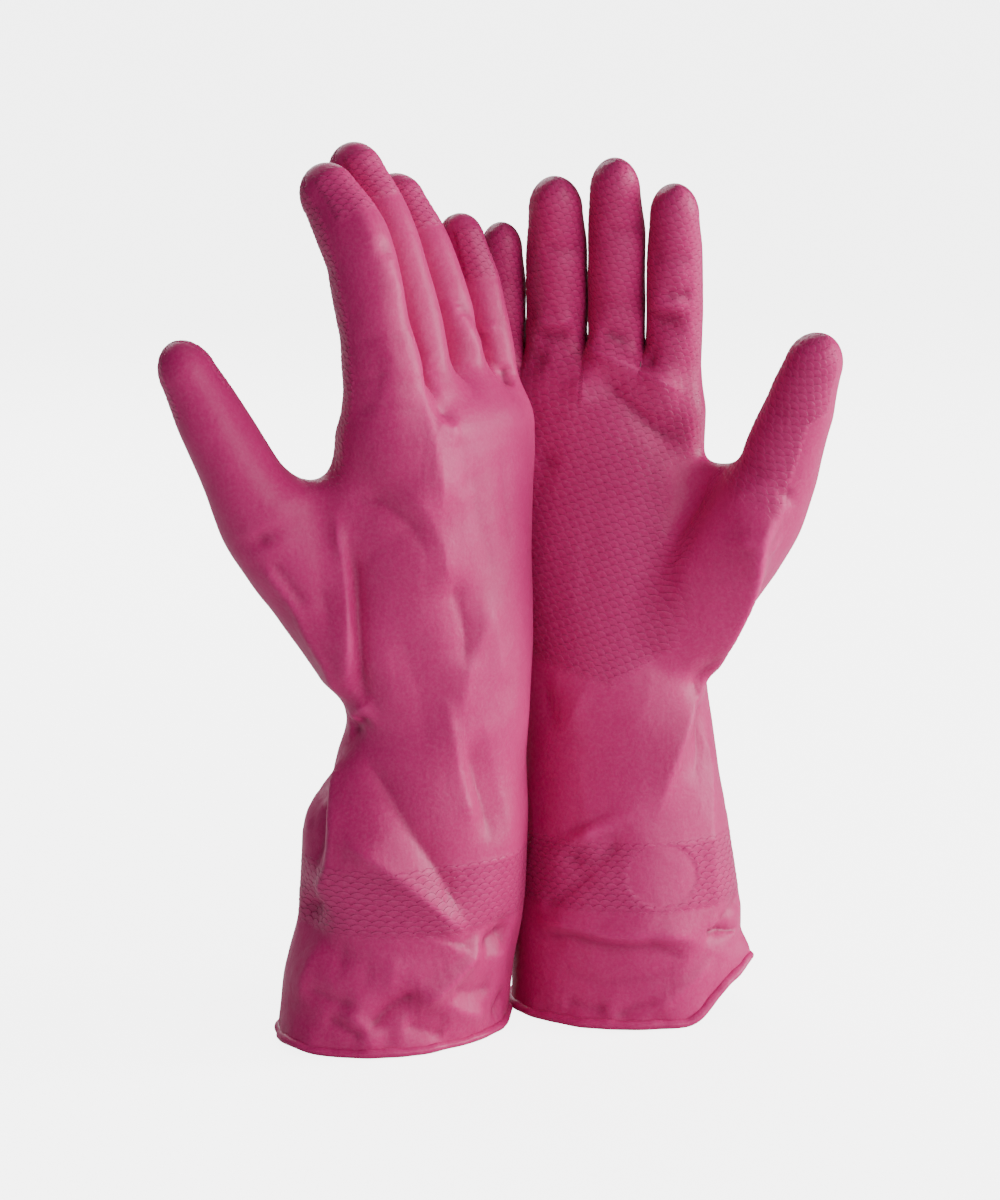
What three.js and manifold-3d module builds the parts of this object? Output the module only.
// Pair of flock-lined latex household gloves standing on their cuffs, both shaped for the same hand.
// Millimetres, +Z up, Z = 0 at the floor under the cuffs, -Y is the front, +X runs towards glove b.
// Each skin is divided along the lines where it bends: cuff, hand, and a base and a tip for every
// stall (finger or thumb), with a short fold zone at each bending line.
import * as THREE from 'three';
import { mergeVertices } from 'three/addons/utils/BufferGeometryUtils.js';
import Module from 'manifold-3d';

// ---- walls and gaps
const SKIN = 0.7;             // latex wall
const LINING = 0.5;           // flock lining wall
const CLEAR = 0.3;            // gap between pieces
const HINGE_GAP = 0.75;       // half gap at a hinge line, filled by the fold zone
const FOLD_CLEAR = 0.33;      // gap between a fold and each of its neighbours
const LINING_SETBACK = 0.5;   // lining edge behind the skin edge
const LINING_START = 2;       // lining stalls and web start this much further along
const CORE_REACH = 1.2;       // how far a hollowing core passes an opening, or starts late

// ---- rolled rim
const BEAD_HEIGHT = 3;
const BEAD_OUT = 1.3;         // proud of the skin
const BEAD_IN = 2;            // reach inwards from the skin's outer face
const BEAD_BEVEL = 0.7;       // bevel width
const BEAD_SHOULDER = 0.9;    // bevel height

// ---- cuff and palm, together the trunk
const TRUNK_FACETS = 24;
const WRIST_Z = 119;          // wrist bending line
const CROWN_Z = 236;          // top of the palm between the stalls
const PALM_TOP_Z = CROWN_Z - 7;             // full section ends here, the crown closes above it
const CROWN_RINGS = [[3.5, 0.93], [1, 0.66]];   // [depth below the top, section scale]
const WRIST_SWING = [40, 35];               // [flexion, extension], degrees
const CUFF_STATIONS = [22, 42, 62, 82, 103];
const PALM_STATIONS = [137, 160, 185, 210];

// ---- web of skin between the thumb and the palm
const WEB_FACETS = 12;
const WEB_BASE_Z = 150;
const WEB_TOP_Z = 192;
const WEB_SIDE_END = 2;       // full section ends this far below WEB_TOP_Z
const WEB_CROWN = 6.5;        // crown above WEB_TOP_Z
const WEB_CROWN_RINGS = [[4, 0.82], [1.2, 0.45]];
const WEB_STATIONS = [164, 178];
const WEB_PALM_OVERLAP = 9;   // its inner end lies this far inside the palm's edge
const WEB_END_MARGIN = 5;     // oval runs past each end by this
const WEB_HALF_DEPTH = 9.5;
const WEB_THINNING = 2.5;     // half depth lost going up
const WEB_THINNING_RUN = 40;

// ---- stalls; swings are [flexion, extension] in degrees
const FINGER = {
  facets: 12, start: 0, stubStations: [9, 18], knuckleSwing: [65, 15], jointSwing: [70, 8],
};
const THUMB = {
  facets: FINGER.facets + 4, start: 12, stubStations: [22, 36, 52, 68],
  knuckleSwing: [40, 15], jointSwing: [60, 10],
};
const THUMB_ROLL = 35;
const ROOT_SCALE = 0.72;      // section scale at a stall's root
const ROOT_GAIN = 0.28;       // scale gained over ROOT_RUN
const ROOT_RUN = 24;
const CENTRE_LINE_STEPS = 160;
const TIP_STEPS = 2;          // rings from the joint to the dome
const DOME_RINGS = [0.5, 0.8];    // ring heights as shares of the dome radius

// bending lines: [knuckle station, joint station]
const STALL_HINGES = {
  index: [37, 63], middle: [35, 64], ring: [37, 62], little: [38, 58], thumb: [88, 112],
};

// finger sections [station, half width, half depth] at fixed shares of the finger's length
const fingerSections = (length, halfSizes) =>
  [0, length * 2 / 5, length * 3 / 4, length].map((station, i) => [station, ...halfSizes[i]]);

// Glove tables in the glove's own frame (X to the thumb side, Y to the back of the hand,
// Z to the fingertips), then turned by yaw degrees and moved to place [x, y].
// rimLift: the rim rises by height on the thumb side, fading out over angle degrees
// trunk rows: z, centre x, centre y, half width, half depth, roundness
// stalls: root point, lean in degrees to the thumb side (side) and to the palm (flex),
//   palmward bends and sideBends [station, spread, degrees],
//   sections [station, half width, half depth], roll turns the bending axis about the stall
const GLOVES = [
  {
    key: 'a', yaw: -130, place: [-23.26, -16.04], rimLift: null,
    trunk: [
      [0, 5.37, -15.73, 46, 36, 2], [20, 4.4, -14.58, 46, 36.5, 2],
      [45, 1.19, -10.75, 44, 36.6, 2], [75, 0.61, -9.28, 43.5, 36, 2],
      [100, -2.54, -4.75, 38, 30.5, 2], [116, -3.71, -1.81, 34.5, 29.5, 2],
      [140, -2.94, -1.16, 36, 29, 2.1], [180, -0.44, -1.03, 38.5, 27.5, 2.2],
      [210, 0.32, -0.38, 41, 25.5, 2.3], [CROWN_Z, 0, 0, 41, 20, 2.3],
    ],
    stalls: {
      index: {
        root: [31, 3, 214], side: 0, flex: 6, bends: [[44, 24, 10], [70, 24, 25]],
        sections: fingerSections(100, [[10.19, 13.4], [10.4, 13.4], [10.3, 13], [10, 11.4]]),
      },
      middle: {
        root: [10, 4, 218], side: 0, flex: 13, bends: [[38, 20, 8], [66, 22, 10]],
        sections: fingerSections(102, [[9.9, 12.8], [10.1, 12.8], [10, 12.42], [9.8, 11]]),
      },
      ring: {
        root: [-10.5, 4, 214], side: 0, flex: 14, bends: [[36, 20, 9], [64, 22, 10]],
        sections: fingerSections(94, [[9.7, 12.2], [9.9, 12.2], [9.8, 11.83], [9.5, 10.6]]),
      },
      little: {
        root: [-29.5, 3, 206], side: 0, flex: 9, bends: [[32, 20, 5], [54, 20, 5]],
        sections: fingerSections(83, [[8.43, 10.8], [8.6, 10.8], [8.51, 10.48], [8.2, 9.2]]),
      },
      thumb: {
        root: [20, -6, 128], side: 28, flex: 24, roll: THUMB_ROLL,
        bends: [[60, 30, -8], [98, 20, 2]], sideBends: [[78, 50, -8]],
        sections: [
          [0, 17, 18], [40, 16.5, 19], [66, 16.5, 17.5],
          [90, 13.6, 15], [112, 12, 12.6], [141, 10.4, 11],
        ],
      },
    },
  },
  {
    key: 'b', yaw: -10, place: [32.74, 17.96], rimLift: { height: 12, angle: 34 },
    trunk: [
      [0, 11.5, 1.01, 41.5, 35, 2], [30, 11.5, 1.01, 41.5, 35, 2],
      [60, 10.75, 2.4, 38.5, 33, 2], [90, 7.85, 4.43, 36, 29.5, 2],
      [124, 3.86, 5.76, 34.8, 27, 2], [150, 1.65, 7.91, 36, 25, 2.1],
      [180, -0.84, 10.51, 38, 23, 2.2], [210, -2.26, 12.8, 39, 21, 2.3],
      [CROWN_Z, -2.43, 13.79, 39.5, 17, 2.3],
    ],
    stalls: {
      index: {
        root: [25.2, 14, 214], side: 1.2, flex: 3, bends: [[38, 20, 6], [62, 22, 8]],
        sections: fingerSections(84, [[9.7, 11.6], [9.9, 11.6], [9.8, 11.25], [9.7, 10.6]]),
      },
      middle: {
        root: [4.8, 14, 218], side: 0.8, flex: 3, bends: [[38, 20, 6], [62, 22, 8]],
        sections: fingerSections(89, [[9.9, 11.6], [10.1, 11.6], [10, 11.25], [9.9, 10.6]]),
      },
      ring: {
        root: [-16.7, 14, 214], side: 0.8, flex: 2, bends: [[36, 20, 6], [60, 22, 8]],
        sections: fingerSections(86, [[10.68, 11.8], [10.9, 11.8], [10.79, 11.45], [10.5, 10.6]]),
      },
      little: {
        root: [-37, 14, 206], side: 1, flex: 0, bends: [[32, 20, 4], [50, 20, 6]],
        sections: fingerSections(76, [[8.43, 10.2], [8.6, 10.2], [8.51, 9.89], [8.3, 9]]),
      },
      thumb: {
        root: [20, 6, 128], side: 35.5, flex: 10, roll: THUMB_ROLL,
        bends: [[60, 30, -2], [98, 20, 2]], sideBends: [[72, 50, -17]],
        sections: [
          [0, 18, 18], [40, 17.5, 19], [66, 16.5, 17.5],
          [88, 13.6, 14.5], [110, 12, 12.4], [138, 10.2, 11],
        ],
      },
    },
  },
];

const FINISHES = {
  skin: { color: 0xc84278, roughness: 0.45 },
  tip: { color: 0xcf4c80, roughness: 0.45 },
  bead: { color: 0xb23468, roughness: 0.42 },
  fold: { color: 0xb23468, roughness: 0.5 },
  lining: { color: 0xe79bb6, roughness: 0.95 },
};

// ---- vectors and curves
const DEG = Math.PI / 180;
const ORIGIN = [0, 0, 0];
const dot = (a, b) => a[0] * b[0] + a[1] * b[1] + a[2] * b[2];
const cross = (a, b) => [
  a[1] * b[2] - a[2] * b[1], a[2] * b[0] - a[0] * b[2], a[0] * b[1] - a[1] * b[0],
];
const unit = (a) => {
  const length = Math.hypot(...a);
  return a.map((x) => x / length);
};
const mix = (a, b, t) => a.map((x, i) => x + (b[i] - x) * t);

// point plus any number of [vector, amount] terms
function along(point, ...terms) {
  const sum = [...point];
  for (const [vector, amount] of terms) {
    for (let i = 0; i < 3; i++) sum[i] += vector[i] * amount;
  }
  return sum;
}

// smooth step, clamped to 0..1
function ease(t) {
  const x = Math.min(1, Math.max(0, t));
  return x * x * (3 - 2 * x);
}

// cubic through one column of a table against its first column, without overshoot
function columnCurve(rows, column) {
  const xs = rows.map((row) => row[0]);
  const ys = rows.map((row) => row[column]);
  const last = xs.length - 1;
  const widths = [];
  const slopes = [];
  const tangents = new Array(xs.length).fill(0);
  for (let i = 0; i < last; i++) {
    widths.push(xs[i + 1] - xs[i]);
    slopes.push((ys[i + 1] - ys[i]) / widths[i]);
  }
  for (let i = 1; i < last; i++) {
    if (slopes[i - 1] * slopes[i] <= 0) continue;
    const before = 2 * widths[i] + widths[i - 1];
    const after = widths[i] + 2 * widths[i - 1];
    tangents[i] = (before + after) / (before / slopes[i - 1] + after / slopes[i]);
  }
  tangents[0] = slopes[0];
  tangents[last] = slopes[last - 1];
  return (value) => {
    const x = Math.min(xs[last], Math.max(xs[0], value));
    let k = 0;
    while (k < last - 1 && x >= xs[k + 1]) k++;
    const t = (x - xs[k]) / widths[k];
    const t2 = t * t;
    const t3 = t2 * t;
    return (2 * t3 - 3 * t2 + 1) * ys[k] + (t3 - 2 * t2 + t) * widths[k] * tangents[k]
      + (3 * t2 - 2 * t3) * ys[k + 1] + (t3 - t2) * widths[k] * tangents[k + 1];
  };
}

// ---- shapes: at every station a frame { centre, wide, deep }
// and an oval section [half width, half depth, roundness]
function trunkShape(rows) {
  const [centreX, centreY, ...section] = [1, 2, 3, 4, 5].map((c) => columnCurve(rows, c));
  return {
    facets: TRUNK_FACETS,
    frame: (z) => ({ centre: [centreX(z), centreY(z), z], wide: [1, 0, 0], deep: [0, 1, 0] }),
    section: (z) => section.map((size) => size(z)),
  };
}

// angle in radians at a station, after the bends passed so far
const leanAt = (station, start, bends) => DEG * (start + bends.reduce(
  (total, [centre, spread, degrees]) =>
    total + degrees * ease((station - centre + spread / 2) / spread), 0));

function stallShape({ root, side, flex, bends, sections, sideBends = [], roll = 0 }, facets) {
  const length = sections.at(-1)[0];
  const steps = CENTRE_LINE_STEPS;
  const halfStep = length / steps / 2;
  const turn = DEG * roll;
  const back = [0, 1, 0];
  const rows = [];
  let centre = [...root];
  for (let i = 0; i <= steps; i++) {
    const station = length * i / steps;
    const flexed = leanAt(station, flex, bends);
    const leant = leanAt(station, side, sideBends);
    const upward = [Math.sin(leant), 0, Math.cos(leant)];
    const sideways = [Math.cos(leant), 0, -Math.sin(leant)];
    const ahead = along(ORIGIN, [upward, Math.cos(flexed)], [back, -Math.sin(flexed)]);
    const normal = along(ORIGIN, [upward, Math.sin(flexed)], [back, Math.cos(flexed)]);
    if (i > 0) centre = along(centre, [ahead, halfStep], [rows[i - 1].ahead, halfStep]);
    rows.push({
      centre,
      ahead,
      wide: along(ORIGIN, [sideways, Math.cos(turn)], [normal, -Math.sin(turn)]),
      deep: along(ORIGIN, [sideways, Math.sin(turn)], [normal, Math.cos(turn)]),
    });
  }
  const extended = (row, distance) =>
    ({ ...row, centre: along(row.centre, [row.ahead, distance]) });
  const halfWidth = columnCurve(sections, 1);
  const halfDepth = columnCurve(sections, 2);
  return {
    facets,
    length,
    frame: (station) => {
      if (station <= 0) return extended(rows[0], station);
      if (station >= length) return extended(rows[steps], station - length);
      const x = station / length * steps;
      const k = Math.min(steps - 1, Math.floor(x));
      const between = (field) => mix(rows[k][field], rows[k + 1][field], x - k);
      return { centre: between('centre'), wide: between('wide'), deep: between('deep') };
    },
    section: (station) => {
      const scale = ROOT_SCALE + ROOT_GAIN * ease(station / ROOT_RUN);
      return [halfWidth(station) * scale, halfDepth(station) * scale, 2];
    },
  };
}

// oval running from inside the palm's edge to the thumb's centre line
function webShape(trunk, thumb) {
  const ends = (z) => {
    let station = z - thumb.frame(0).centre[2];
    for (let i = 0; i < 20; i++) station += z - thumb.frame(station).centre[2];
    const palm = trunk.frame(z).centre;
    const [thumbX, thumbY] = thumb.frame(station).centre;
    return [[palm[0] + trunk.section(z)[0] - WEB_PALM_OVERLAP, palm[1], z], [thumbX, thumbY, z]];
  };
  return {
    facets: WEB_FACETS,
    frame: (z) => {
      const [inner, outer] = ends(z);
      const wide = unit([outer[0] - inner[0], outer[1] - inner[1], 0]);
      return { centre: mix(inner, outer, 0.5), wide, deep: [-wide[1], wide[0], 0] };
    },
    section: (z) => {
      const [inner, outer] = ends(z);
      return [
        Math.hypot(outer[0] - inner[0], outer[1] - inner[1]) / 2 + WEB_END_MARGIN,
        WEB_HALF_DEPTH - WEB_THINNING * ease((z - WEB_BASE_Z) / WEB_THINNING_RUN),
        2,
      ];
    },
  };
}

const lobe = (x, roundness) => Math.sign(x) * Math.abs(x) ** (2 / roundness);

function onSkin(shape, station, angle, inset, scale = 1) {
  const { centre, wide, deep } = shape.frame(station);
  const [halfWidth, halfDepth, roundness] = shape.section(station);
  return along(centre,
    [wide, (halfWidth - inset) * scale * lobe(Math.cos(angle), roundness)],
    [deep, (halfDepth - inset) * scale * lobe(Math.sin(angle), roundness)]);
}

// ---- hinge lines: each side is cut back as a shallow V so the pieces can turn without touching
const BELOW = -1;
const ABOVE = 1;

function hingeAt(shape, station, [flexion, extension]) {
  const { centre, wide } = shape.frame(station);
  const ahead = unit(along(shape.frame(station + 1).centre, [shape.frame(station - 1).centre, -1]));
  const axis = unit(along(wide, [ahead, -dot(wide, ahead)]));
  return {
    shape, station, centre, ahead,
    deep: cross(ahead, axis),
    palmSlope: Math.tan(DEG * flexion / 2),
    backSlope: Math.tan(DEG * extension / 2),
  };
}

// station where the skin at an angle meets one side of the V, closed in on step by step
function cutStation(hinge, side, gap, angle, inset) {
  let station = hinge.station + side * gap;
  for (let i = 0; i < 25; i++) {
    const arm = along(onSkin(hinge.shape, station, angle, inset), [hinge.centre, -1]);
    const depth = dot(arm, hinge.deep);
    const slope = depth < 0 ? hinge.palmSlope : hinge.backSlope;
    station += 0.8 * (side * (Math.abs(depth) * slope + gap) - dot(arm, hinge.ahead));
  }
  return station;
}

// An edge gives the station at an angle and inset.
const level = (station) => () => station;
const hingeEdge = (hinge, side, gap = HINGE_GAP) => (angle, inset) =>
  cutStation(hinge, side, gap, angle, inset);
const foldEdge = (hinge, side) => (angle, inset) => {
  const slope = Math.sin(angle) < 0 ? hinge.palmSlope : hinge.backSlope;
  const gap = HINGE_GAP - FOLD_CLEAR * Math.sqrt(1 + slope * slope);
  return cutStation(hinge, side, gap, angle, inset);
};

// ---- meshes from rings of points, as { points, faces } with flat arrays
function band(faces, from, to, count) {
  for (let k = 0; k < count; k++) {
    const next = (k + 1) % count;
    const a = from * count + k;
    const c = to * count + next;
    faces.push(a, from * count + next, c, a, c, to * count + k);
  }
}

function ringBands(rings) {
  const faces = [];
  for (let i = 0; i < rings.length - 1; i++) band(faces, i, i + 1, rings[0].length);
  return { points: rings.flat(2), faces };
}

// the last ring joins back to the first
function loopMesh(rings) {
  const mesh = ringBands(rings);
  band(mesh.faces, rings.length - 1, 0, rings[0].length);
  return mesh;
}

// both ends close to a point
function poleMesh(rings, startPole, endPole) {
  const { points, faces } = ringBands(rings);
  const count = rings[0].length;
  const pole = points.length / 3;
  const last = (rings.length - 1) * count;
  points.push(...startPole, ...endPole);
  for (let k = 0; k < count; k++) {
    const next = (k + 1) % count;
    faces.push(pole, next, k, pole + 1, last + k, last + next);
  }
  return { points, faces };
}

const angles = (count) => Array.from({ length: count }, (_, k) => k * 2 * Math.PI / count);
const ring = (shape, edge, inset, scale = 1) => angles(shape.facets).map(
  (angle) => onSkin(shape, edge(angle, inset), angle, inset, scale));
const wall = (shape, low, high, stations, inset) =>
  [low, ...stations.map(level), high].map((edge) => ring(shape, edge, inset));

// open-ended tube between two edges
function tube(shape, low, high, stations = [], inset = 0, thickness = SKIN) {
  const outer = wall(shape, low, high, stations, inset);
  const inner = wall(shape, low, high, stations, inset + thickness);
  return loopMesh([...outer, ...inner.reverse()]);
}

// rounded stall end, open at its lower edge
function tip(shape, low) {
  const domed = (inset) => {
    const top = shape.length - inset;
    const radius = shape.section(shape.length)[0] - inset;
    const domeStart = top - radius;
    const rings = [];
    for (let i = 0; i <= TIP_STEPS; i++) {
      const t = i / TIP_STEPS;
      rings.push(ring(shape, (angle) => low(angle, inset) * (1 - t) + domeStart * t, inset));
    }
    for (const rise of DOME_RINGS) {
      rings.push(ring(shape, level(domeStart + radius * rise), inset, Math.sqrt(1 - rise * rise)));
    }
    return { rings, pole: shape.frame(top).centre };
  };
  const outer = domed(0);
  const inner = domed(SKIN);
  return poleMesh([...inner.rings.reverse(), ...outer.rings], inner.pole, outer.pole);
}

// ---- booleans
const manifold = await Module();
manifold.setup();

function indexedGeometry({ points, faces }) {
  const geometry = new THREE.BufferGeometry();
  geometry.setAttribute('position', new THREE.Float32BufferAttribute(points, 3));
  geometry.setIndex(faces);
  return geometry;
}

function toSolid(mesh) {
  const { attributes, index } = mergeVertices(indexedGeometry(mesh), 1e-4);
  return new manifold.Manifold(new manifold.Mesh({
    numProp: 3,
    vertProperties: attributes.position.array,
    triVerts: new Uint32Array(index.array),
  }));
}

function fromSolid(solid) {
  const { vertProperties, numProp, triVerts } = solid.getMesh();
  const points = [];
  for (let i = 0; i < vertProperties.length; i += numProp) {
    points.push(...vertProperties.slice(i, i + 3));
  }
  return { points, faces: Array.from(triVerts) };
}

// ---- hand: palm and back, web and five stubs
function palmPlug({ trunk, wrist }, inset, gap) {
  const top = CROWN_Z - inset;
  const rings = wall(trunk, hingeEdge(wrist, ABOVE, gap), level(PALM_TOP_Z), PALM_STATIONS, inset);
  for (const [drop, scale] of CROWN_RINGS) rings.push(ring(trunk, level(top - drop), inset, scale));
  const [x, y] = trunk.frame(CROWN_Z).centre;
  return poleMesh(rings, along(wrist.centre, [wrist.ahead, gap]), [x, y, top]);
}

function webPlug({ web }, inset, start) {
  const base = WEB_BASE_Z + start;
  const top = WEB_TOP_Z + WEB_CROWN - inset;
  const rings = wall(web, level(base), level(WEB_TOP_Z - WEB_SIDE_END), WEB_STATIONS, inset);
  for (const [drop, scale] of WEB_CROWN_RINGS) {
    rings.push(ring(web, level(top - drop), inset, scale));
  }
  const [x, y] = web.frame(WEB_TOP_Z).centre;
  return poleMesh(rings, web.frame(base).centre, [x, y, top]);
}

function stubPlug({ shape, kind, knuckle }, inset, gap, start) {
  const from = start + kind.start;
  const edge = hingeEdge(knuckle, BELOW, gap);
  const rings = wall(shape, level(from), edge, kind.stubStations, inset);
  return poleMesh(rings, shape.frame(from).centre, along(knuckle.centre, [knuckle.ahead, -gap]));
}

function handSolid(parts, inset, gap, start) {
  return [
    palmPlug(parts, inset, gap),
    webPlug(parts, inset, start),
    ...parts.stalls.map((stall) => stubPlug(stall, inset, gap, start)),
  ].map(toSolid).reduce((a, b) => a.add(b));
}

function handShell(parts, inset, thickness, gap, start) {
  const body = handSolid(parts, inset, gap, start);
  const core = handSolid(parts, inset + thickness, gap - CORE_REACH, start + CORE_REACH);
  return fromSolid(body.subtract(core).simplify(0.05));
}

// ---- cuff
// height added to the rim at an angle round the cuff, measured from the thumb side
function rimRise(lift, angle) {
  if (!lift) return 0;
  const degrees = Math.abs(Math.atan2(Math.sin(angle), Math.cos(angle))) / DEG;
  return lift.height * ease((lift.angle * 1.6 - degrees) / lift.angle);
}

// rolled rim: an eight-sided section with a flat underside
function cuffBead(trunk, lift) {
  const shoulder = BEAD_HEIGHT - BEAD_SHOULDER;
  const outline = [   // [outwards from the skin, z]
    [BEAD_OUT, BEAD_SHOULDER], [BEAD_OUT, shoulder],
    [BEAD_OUT - BEAD_BEVEL, BEAD_HEIGHT], [-BEAD_IN + BEAD_BEVEL, BEAD_HEIGHT],
    [-BEAD_IN, shoulder], [-BEAD_IN, BEAD_SHOULDER],
    [-BEAD_IN + BEAD_BEVEL, 0], [BEAD_OUT - BEAD_BEVEL, 0],
  ];
  return loopMesh(outline.map(([out, z]) => angles(trunk.facets).map((angle) => {
    const [x, y] = onSkin(trunk, 0, angle, -out);
    return [x, y, z + rimRise(lift, angle)];
  })));
}

// ---- assembly
const group = new THREE.Group();
group.name = 'rubber_gloves';

function addPiece({ key, yaw, place }, name, { points, faces }, finish) {
  const cos = Math.cos(DEG * yaw);
  const sin = Math.sin(DEG * yaw);
  const placed = [];
  for (let i = 0; i < points.length; i += 3) {
    const [x, y, z] = points.slice(i, i + 3);
    placed.push(cos * x - sin * y + place[0], sin * x + cos * y + place[1], z);
  }
  const geometry = indexedGeometry({ points: placed, faces });
  geometry.computeVertexNormals();
  const material = new THREE.MeshStandardMaterial({ ...FINISHES[finish], metalness: 0 });
  const mesh = new THREE.Mesh(geometry, material);
  mesh.name = `${key}_${name}`;
  group.add(mesh);
}

function makeStall([name, table]) {
  const kind = name === 'thumb' ? THUMB : FINGER;
  const shape = stallShape(table, kind.facets);
  const [knuckleStation, jointStation] = STALL_HINGES[name];
  return {
    name, kind, shape,
    knuckle: hingeAt(shape, knuckleStation, kind.knuckleSwing),
    joint: hingeAt(shape, jointStation, kind.jointSwing),
  };
}

for (const glove of GLOVES) {
  const add = (name, mesh, finish) => addPiece(glove, name, mesh, finish);
  const fold = (hinge) => tube(hinge.shape, foldEdge(hinge, BELOW), foldEdge(hinge, ABOVE));
  const trunk = trunkShape(glove.trunk);
  const wrist = hingeAt(trunk, WRIST_Z, WRIST_SWING);
  const stalls = Object.entries(glove.stalls).map(makeStall);
  const web = webShape(trunk, stalls.find(({ name }) => name === 'thumb').shape);
  const parts = { trunk, wrist, stalls, web };
  const liningInset = SKIN + CLEAR;
  const liningGap = HINGE_GAP + LINING_SETBACK;

  const cuffWall = (setback, inset, thickness) => tube(trunk,
    (angle) => BEAD_HEIGHT + CLEAR + setback + rimRise(glove.rimLift, angle),
    hingeEdge(wrist, BELOW, HINGE_GAP + setback), CUFF_STATIONS, inset, thickness);
  add('cuff_bead', cuffBead(trunk, glove.rimLift), 'bead');
  add('gauntlet', cuffWall(0, 0, SKIN), 'skin');
  add('gauntlet_lining', cuffWall(LINING_SETBACK, liningInset, LINING), 'lining');
  add('wrist_fold', fold(wrist), 'fold');
  add('hand', handShell(parts, 0, SKIN, HINGE_GAP, 0), 'skin');
  add('hand_lining', handShell(parts, liningInset, LINING, liningGap, LINING_START), 'lining');

  for (const { name, shape, knuckle, joint } of stalls) {
    const midway = (knuckle.station + joint.station) / 2;
    const base = tube(shape, hingeEdge(knuckle, ABOVE), hingeEdge(joint, BELOW), [midway]);
    add(`${name}_knuckle_fold`, fold(knuckle), 'fold');
    add(`${name}_base`, base, 'skin');
    add(`${name}_joint_fold`, fold(joint), 'fold');
    add(`${name}_tip`, tip(shape, hingeEdge(joint, ABOVE)), 'tip');
  }
}

export default group;
